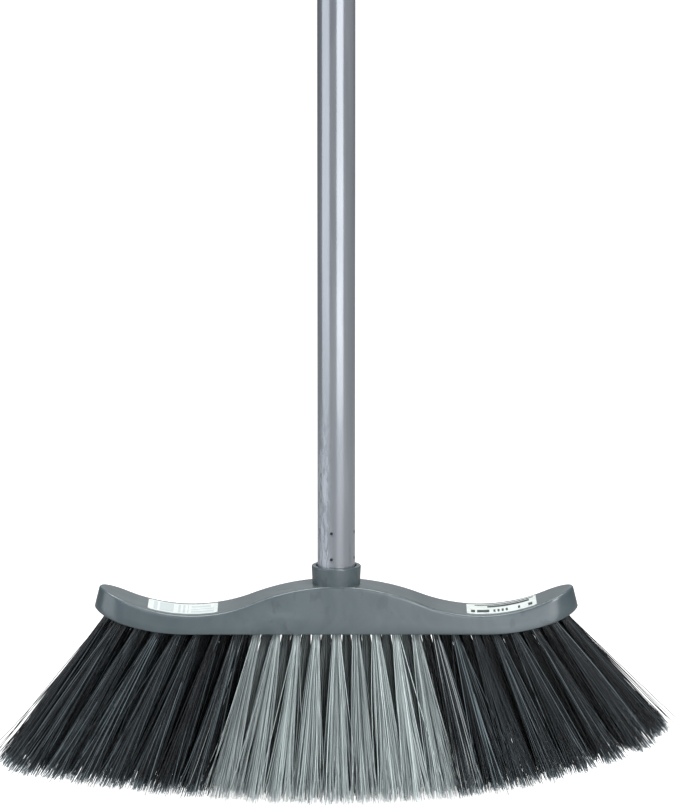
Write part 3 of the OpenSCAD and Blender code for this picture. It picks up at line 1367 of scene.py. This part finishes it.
@dataclass
class Label:
    """A sticker that lies along the dip of a wing's top."""

    head: HeadBlock
    node: str
    width: float = 0.027
    thick: float = 0.00015
    corner: float = 0.0012
    lift: float = 0.00002
    steps: int = 28

    def build(self, material: Material) -> Object:
        """Builds the sticker with a UV map along and across it.

        Args:
            material: its finish.

        Returns:
            The finished piece.
        """
        points: list[Point] = []
        uvs: list[tuple[float, float]] = []
        left, right = (corner[0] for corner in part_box(self.node))
        length = right - left
        for rise in (self.lift, self.lift + self.thick):
            for i in range(self.steps + 1):
                u = i / self.steps
                x = left + length * u
                edge = min(u, 1 - u) * length
                cut = max(0.0, self.corner - edge)
                inset = self.corner - math.sqrt(max(0.0, self.corner ** 2 - cut ** 2))
                for v in (0.0, 1.0):
                    y = (v - 0.5) * (self.width - 2 * inset)
                    z = self.head.base_z + self.head.top(x) + rise
                    points.append((x, y, z))
                    uvs.append((u, v))
        count = 2 * (self.steps + 1)
        faces = []
        for i in range(self.steps):
            a = 2 * i
            faces.append([a + 1, a + 3, a + 2, a])
            faces.append([count + a, count + a + 2, count + a + 3, count + a + 1])
            faces.append([a, a + 2, count + a + 2, count + a])
            faces.append([a + 3, a + 1, count + a + 1, count + a + 3])
        last = 2 * self.steps
        faces.append([0, count, count + 1, 1])
        faces.append([last + 1, count + last + 1, count + last, last])
        piece = make_object(f"{self.node}_sticker", points, faces, material)
        layer = piece.data.uv_layers.new(name="print")
        for loop in piece.data.loops:
            layer.data[loop.index].uv = uvs[loop.vertex_index]
        smooth(piece)
        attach(piece, "head")
        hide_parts(self.node)
        return piece


@dataclass
class Handle:
    """The lacquered tube and the marks that stake it to its tip."""

    radius: float = 0.0111
    wall: float = 0.0005
    ring_heights: tuple[float, float] = (0.1429, 0.1585)
    first_turn: float = math.radians(-15.0)
    mark_r: float = 0.0009
    dimple_r: float = 0.0021
    dimple_deep: float = 0.00035
    mark_deep: float = 0.0009
    mark_sides: int = 12
    mark_taper: float = 0.6
    mark_sunk: float = 0.5
    clear: float = 0.006
    fine_step: float = 0.0005
    coarse_steps: int = 12
    sharp: float = 50.0
    around: int = 144

    def marks(self) -> list[tuple[float, float]]:
        """Each stake mark's turn about the axis from the front, and its height."""
        return [(self.first_turn + k * math.pi / 2, z) for z in self.ring_heights for k in range(4)]

    def ring(self, z: float, radius_at: Callable[[float], float]) -> list[Point]:
        """Makes one ring of points round the axis, starting from the front.

        Args:
            z: the ring's height.
            radius_at: the radius at a turn from the front.

        Returns:
            The points.
        """
        points = []
        for k in range(self.around):
            a = math.tau * k / self.around
            r = radius_at(a)
            points.append((r * math.sin(a), -r * math.cos(a), z))
        return points

    def tube(self, material: Material) -> Object:
        """Builds the tube, with the metal drawn in round each stake mark.

        Args:
            material: its finish.

        Returns:
            The finished piece.
        """
        low, high = (corner[2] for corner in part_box("handle_tube"))
        near = max(self.ring_heights) + self.clear
        fine = round((near - low) / self.fine_step)
        coarse = self.coarse_steps
        heights = [low + (near - low) * k / fine for k in range(fine + 1)]
        heights += [near + (high - near) * k / coarse for k in range(1, coarse + 1)]
        points: list[Point] = []
        for z in heights:
            points += self.ring(z, lambda a: self.radius - self.drawn_in(a, z))
        for z in (low, high):
            points += self.ring(z, lambda a: self.radius - self.wall)
        n, rows = self.around, len(heights)
        faces = []
        for k in range(n):
            m = (k + 1) % n
            for i in range(rows - 1):
                faces.append([i * n + k, i * n + m, (i + 1) * n + m, (i + 1) * n + k])
            lower, upper, top = rows * n, (rows + 1) * n, (rows - 1) * n
            faces.append([lower + k, upper + k, upper + m, lower + m])
            faces.append([k, lower + k, lower + m, m])
            faces.append([top + k, top + m, upper + m, upper + k])
        piece = make_object("handle_tube_skin", points, faces, material)
        smooth(piece, self.sharp)
        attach(piece, "handle")
        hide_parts("handle_tube")
        return piece

    def drawn_in(self, turn: float, z: float) -> float:
        """How far the stakes draw the tube's surface in at a point.

        Args:
            turn: the point's turn about the axis from the front.
            z: its height.

        Returns:
            The depth.
        """
        total = 0.0
        for mark_turn, mark_z in self.marks():
            swing = (turn - mark_turn + math.pi) % math.tau - math.pi
            away = math.hypot(self.radius * swing, z - mark_z) / self.dimple_r
            if away < 1.0:
                total += self.dimple_deep * (1 - away * away) ** 2
        return total

    def stake_marks(self, material: Material) -> Object:
        """Sets a near-black cone in each dimple as painted shade for the pierced hole, with a
        geometry tree.

        Args:
            material: its finish.

        Returns:
            The finished piece.
        """
        slots = [Slot("Radius", "Float"), Slot("Depth", "Float"), Slot("Material", "Material")]
        g, given, end, ids = new_grower("stakes", slots)
        inputs = {"Vertices": self.mark_sides, "Radius Top": given["Radius"]}
        inputs["Depth"] = given["Depth"]
        inputs["Radius Bottom"] = g.times(given["Radius"], self.mark_taper)
        peg = g.add("GeometryNodeMeshCone", inputs, "Mesh")
        settings = {"out": "Attribute", "data_type": "FLOAT_VECTOR"}
        out = g.add("GeometryNodeInputNamedAttribute", {"Name": "out"}, **settings)
        turn = g.add("FunctionNodeAlignRotationToVector", {"Vector": out}, axis="Z")
        inputs = {"Points": given["Geometry"], "Instance": peg, "Rotation": turn}
        placed = g.add("GeometryNodeInstanceOnPoints", inputs)
        solid = g.add("GeometryNodeRealizeInstances", {"Geometry": placed})
        inputs = {"Geometry": solid, "Material": given["Material"]}
        g.put(end.inputs["Geometry"], g.add("GeometryNodeSetMaterial", inputs))
        proud = self.radius - self.mark_sunk * self.dimple_deep - self.mark_deep
        outs = [(math.sin(a), -math.cos(a), 0.0) for a, _ in self.marks()]
        roots = [(proud * x, proud * y, z) for (x, y, _), (_, z) in zip(outs, self.marks())]
        piece = make_object("stake_marks", roots, [], None)
        store(piece, "out", "FLOAT_VECTOR", [c for way in outs for c in way])
        values = {"Radius": self.mark_r, "Depth": self.mark_deep, "Material": material}
        grow(piece, g.tree, ids, values)
        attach(piece, "handle")
        return piece


@dataclass
class CapLoop:
    """The hanging cap: a round foot that narrows to a flat blade with a hole through it."""

    node: str = "hang_cap"
    edge: float = 0.00072
    edge_steps: int = 3
    sharp: float = 40.0
    flat: float = 0.5
    touch: float = 1e-6

    def build(self, material: Material) -> Object:
        """Builds the cap from its CAD shape, with every outer edge rounded.

        Args:
            material: its finish.

        Returns:
            The finished piece.
        """
        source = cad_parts[self.node]
        mesh = source.data.copy()
        piece = bpy.data.objects.new("hang_cap_skin", mesh)
        bpy.context.scene.collection.objects.link(piece)
        mesh.polygons.foreach_set("use_smooth", [True] * len(mesh.polygons))
        shape = bmesh.new()
        shape.from_mesh(mesh)
        bmesh.ops.remove_doubles(shape, verts=shape.verts, dist=self.touch)
        whole = {"verts": shape.verts, "edges": shape.edges}
        bmesh.ops.dissolve_limit(shape, angle_limit=math.radians(self.flat), **whole)
        shape.to_mesh(mesh)
        shape.free()
        bevel = piece.modifiers.new("edges", "BEVEL")
        bevel.width = self.edge
        bevel.segments = self.edge_steps
        bevel.limit_method = "ANGLE"
        bevel.harden_normals = True
        bevel.angle_limit = math.radians(self.sharp)
        apply_modifiers(piece)
        mesh = piece.data
        mesh.materials.clear()
        mesh.materials.append(material)
        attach(piece, "cap")
        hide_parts(self.node)
        return piece


@dataclass(frozen=True)
class Lamp:
    """A soft rectangular light that faces the handle's line at a height."""

    name: str
    place: Point
    size: tuple[float, float]
    power: float
    tint: Point
    aim_z: float

    def hang(self) -> None:
        """Hangs the light, out of the camera's sight."""
        light = bpy.data.lights.new(self.name, "AREA")
        light.shape = "RECTANGLE"
        light.size, light.size_y = self.size
        light.energy = self.power
        light.color = self.tint
        lamp = bpy.data.objects.new(self.name, light)
        lamp.location = self.place
        lamp.visible_camera = False
        way = Vector(self.place) - Vector((0.0, 0.0, self.aim_z))
        lamp.rotation_euler = way.to_track_quat("Z", "Y").to_euler()
        bpy.context.scene.collection.objects.link(lamp)


LAMPS = (
    Lamp("window_left", (-1.07, -0.42, 0.5), (1.15, 0.96), 7.5, (0.9, 0.95, 1.0), 0.5),
    Lamp("window_right", (0.45, -1.06, 0.5), (0.86, 0.96), 8.5, (0.97, 0.98, 1.0), 0.5),
    Lamp("key", (1.0, -1.9, 1.9), (0.7, 0.7), 48.0, (1.0, 1.0, 1.0), 0.1),
    Lamp("back", (0.0, 2.3, 1.0), (1.6, 1.0), 3.5, (0.95, 0.98, 1.0), 0.15),
    Lamp("top", (-0.1, 0.3, 2.4), (1.6, 1.0), 52.0, (0.97, 0.99, 1.0), 0.1),
)


@dataclass
class Studio:
    """The plain pale floor, the soft lights and the camera."""

    distance: float = 3.5
    elevation: float = math.radians(10.0)
    aim: Point = (0.0019, 0.0, 0.2347)
    view_height: float = 0.4731
    sensor: float = 36.0
    half_floor: float = 12.0
    seen_floor: tuple[float, float] = (1.0, 0.03)
    seen_sky: tuple[float, float] = (0.95, 0.09)

    def build(self) -> None:
        """Sets up the whole studio."""
        self.floor()
        self.sky()
        self.camera()
        for lamp in LAMPS:
            lamp.hang()

    def floor(self) -> None:
        """Lays a wide pale floor that reads as plain white from the camera."""
        half = self.half_floor
        material = bpy.data.materials.new("pale_floor")
        material.use_nodes = True
        graph = Graph(material.node_tree)
        surface = material.node_tree.nodes["Principled BSDF"]
        fix(surface, {
            "Base Color": (0.3, 0.3, 0.3, 1.0),
            "Roughness": 0.9,
            "Specular IOR Level": 0.0,
            "Emission Color": WHITE,
        })
        seen = graph.add("ShaderNodeLightPath", out="Is Camera Ray")
        glow = graph.math("MULTIPLY_ADD", seen, *self.seen_floor)
        graph.put(surface.inputs["Emission Strength"], glow)
        corners = [(-half, -half, 0.0), (half, -half, 0.0), (half, half, 0.0), (-half, half, 0.0)]
        make_object("floor", corners, [[0, 1, 2, 3]], material)

    def sky(self) -> None:
        """Gives an even dim light from all round, behind a plain white backdrop."""
        world = bpy.data.worlds.new("studio")
        world.use_nodes = True
        bpy.context.scene.world = world
        graph = Graph(world.node_tree)
        plain = world.node_tree.nodes["Background"]
        fix(plain, {"Color": (0.95, 0.97, 1.0, 1.0)})
        seen = graph.add("ShaderNodeLightPath", out="Is Camera Ray")
        glow = graph.math("MULTIPLY_ADD", seen, *self.seen_sky)
        graph.put(plain.inputs["Strength"], glow)

    def camera(self) -> None:
        """Places the camera."""
        lens = bpy.data.cameras.new("camera")
        lens.sensor_width = self.sensor
        lens.lens = self.sensor * self.distance / self.view_height
        eye = bpy.data.objects.new("camera", lens)
        back = Vector((0.0, -math.cos(self.elevation), math.sin(self.elevation)))
        eye.location = Vector(self.aim) + back * self.distance
        eye.rotation_euler = (math.pi / 2 - self.elevation, 0.0, 0.0)
        bpy.context.scene.collection.objects.link(eye)
        bpy.context.scene.camera = eye


def dress(node: str, material: Material) -> None:
    """Gives a CAD node that is kept its material.

    Args:
        node: the node's name.
        material: its finish.
    """
    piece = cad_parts[node]
    if not piece.material_slots:
        piece.data.materials.append(material)
    for slot in piece.material_slots:
        slot.link = "OBJECT"
        slot.material = material
    log.info("dressed %s", node)


def report(pieces: Sequence[Object]) -> None:
    """Logs each piece's size in faces."""
    for piece in pieces:
        log.info("%s: %d faces", piece.name, len(piece.data.polygons))


def finishes() -> dict[str, Material]:
    """Builds every finish.

    Returns:
        The materials, by name.
    """
    grey_ink, dark_ink = (0.5, 0.55, 0.55, 1), (0.03, 0.035, 0.04, 1)
    stripes = ((0.62, 0.95, 0.1, 0.3), (0.62, 0.95, 0.42, 0.52), (0.62, 0.9, 0.64, 0.8))
    rules = ((0.3, 0.9, 0.62, 0.8), (0.12, 0.96, 0.84, 0.93))
    head = (0.058, 0.08, 0.089, 1), (0.078, 0.102, 0.111, 1)
    fitting = (0.03, 0.034, 0.038, 1), (0.045, 0.05, 0.055, 1)
    tube = (0.25, 0.27, 0.3, 1), (0.31, 0.33, 0.36, 1)
    # Near-black colour for the cones in the stake holes: painted shade inside the pierced holes.
    pit = (0.004, 0.004, 0.006, 1), (0.008, 0.008, 0.01, 1)
    # The black filaments' high colour, which a few strands get, is a painted highlight standing in
    # for sheen.
    black = (0.001, 0.0015, 0.003, 1), (0.2, 0.26, 0.285, 1), (0.4, 0.44, 0.44, 1)
    grey = (0.09, 0.11, 0.115, 1), (0.8, 0.9, 0.89, 1), (0.01, 0.012, 0.014, 1)
    effects = Effects()
    made = (
        Moulded("head_plastic", *head, 0.34, 0.3),
        Moulded("fitting_plastic", *fitting, 0.5),
        Lacquer("tube_lacquer", *tube, 0.17, 0.26),
        Moulded("stake_pit", *pit, 0.6),
        Filament("black_bristle", *black, 0.26),
        Filament("grey_bristle", *grey, 0.3),
        Printed("bar_label", grey_ink, stripes, (0.08, 0.58, 0.08, 0.9, 30.0)),
        Printed("line_label", dark_ink, rules, (0.06, 0.94, 0.14, 0.4, 34.0)),
        Plated("zinc", (0.62, 0.63, 0.64, 1)),
    )
    return {finish.name: finish.material(effects) for finish in made}


def main() -> None:
    """Builds the studio and the broom."""
    logging.basicConfig(level=logging.INFO, format="%(message)s")
    bpy.context.scene.view_settings.view_transform = "Standard"
    Studio().build()
    finish = finishes()
    tones = {tone: finish[f"{tone.value}_bristle"] for tone in Tone}
    head = HeadBlock()
    tufts = TuftRows(head)
    handle = Handle()
    report([head.build(tufts, finish["head_plastic"])])
    report(tufts.build(tones))
    report([
        Label(head, "left_label").build(finish["bar_label"]),
        Label(head, "right_label").build(finish["line_label"]),
        handle.tube(finish["tube_lacquer"]),
        handle.stake_marks(finish["stake_pit"]),
        CapLoop().build(finish["fitting_plastic"]),
    ])
    for node in ("threaded_tip", "top_plug"):
        dress(node, finish["fitting_plastic"])
    for node in ("swivel_pin", *(f"{name}_staples" for name in tufts.names)):
        dress(node, finish["zinc"])


if __name__ == "__main__":
    main()
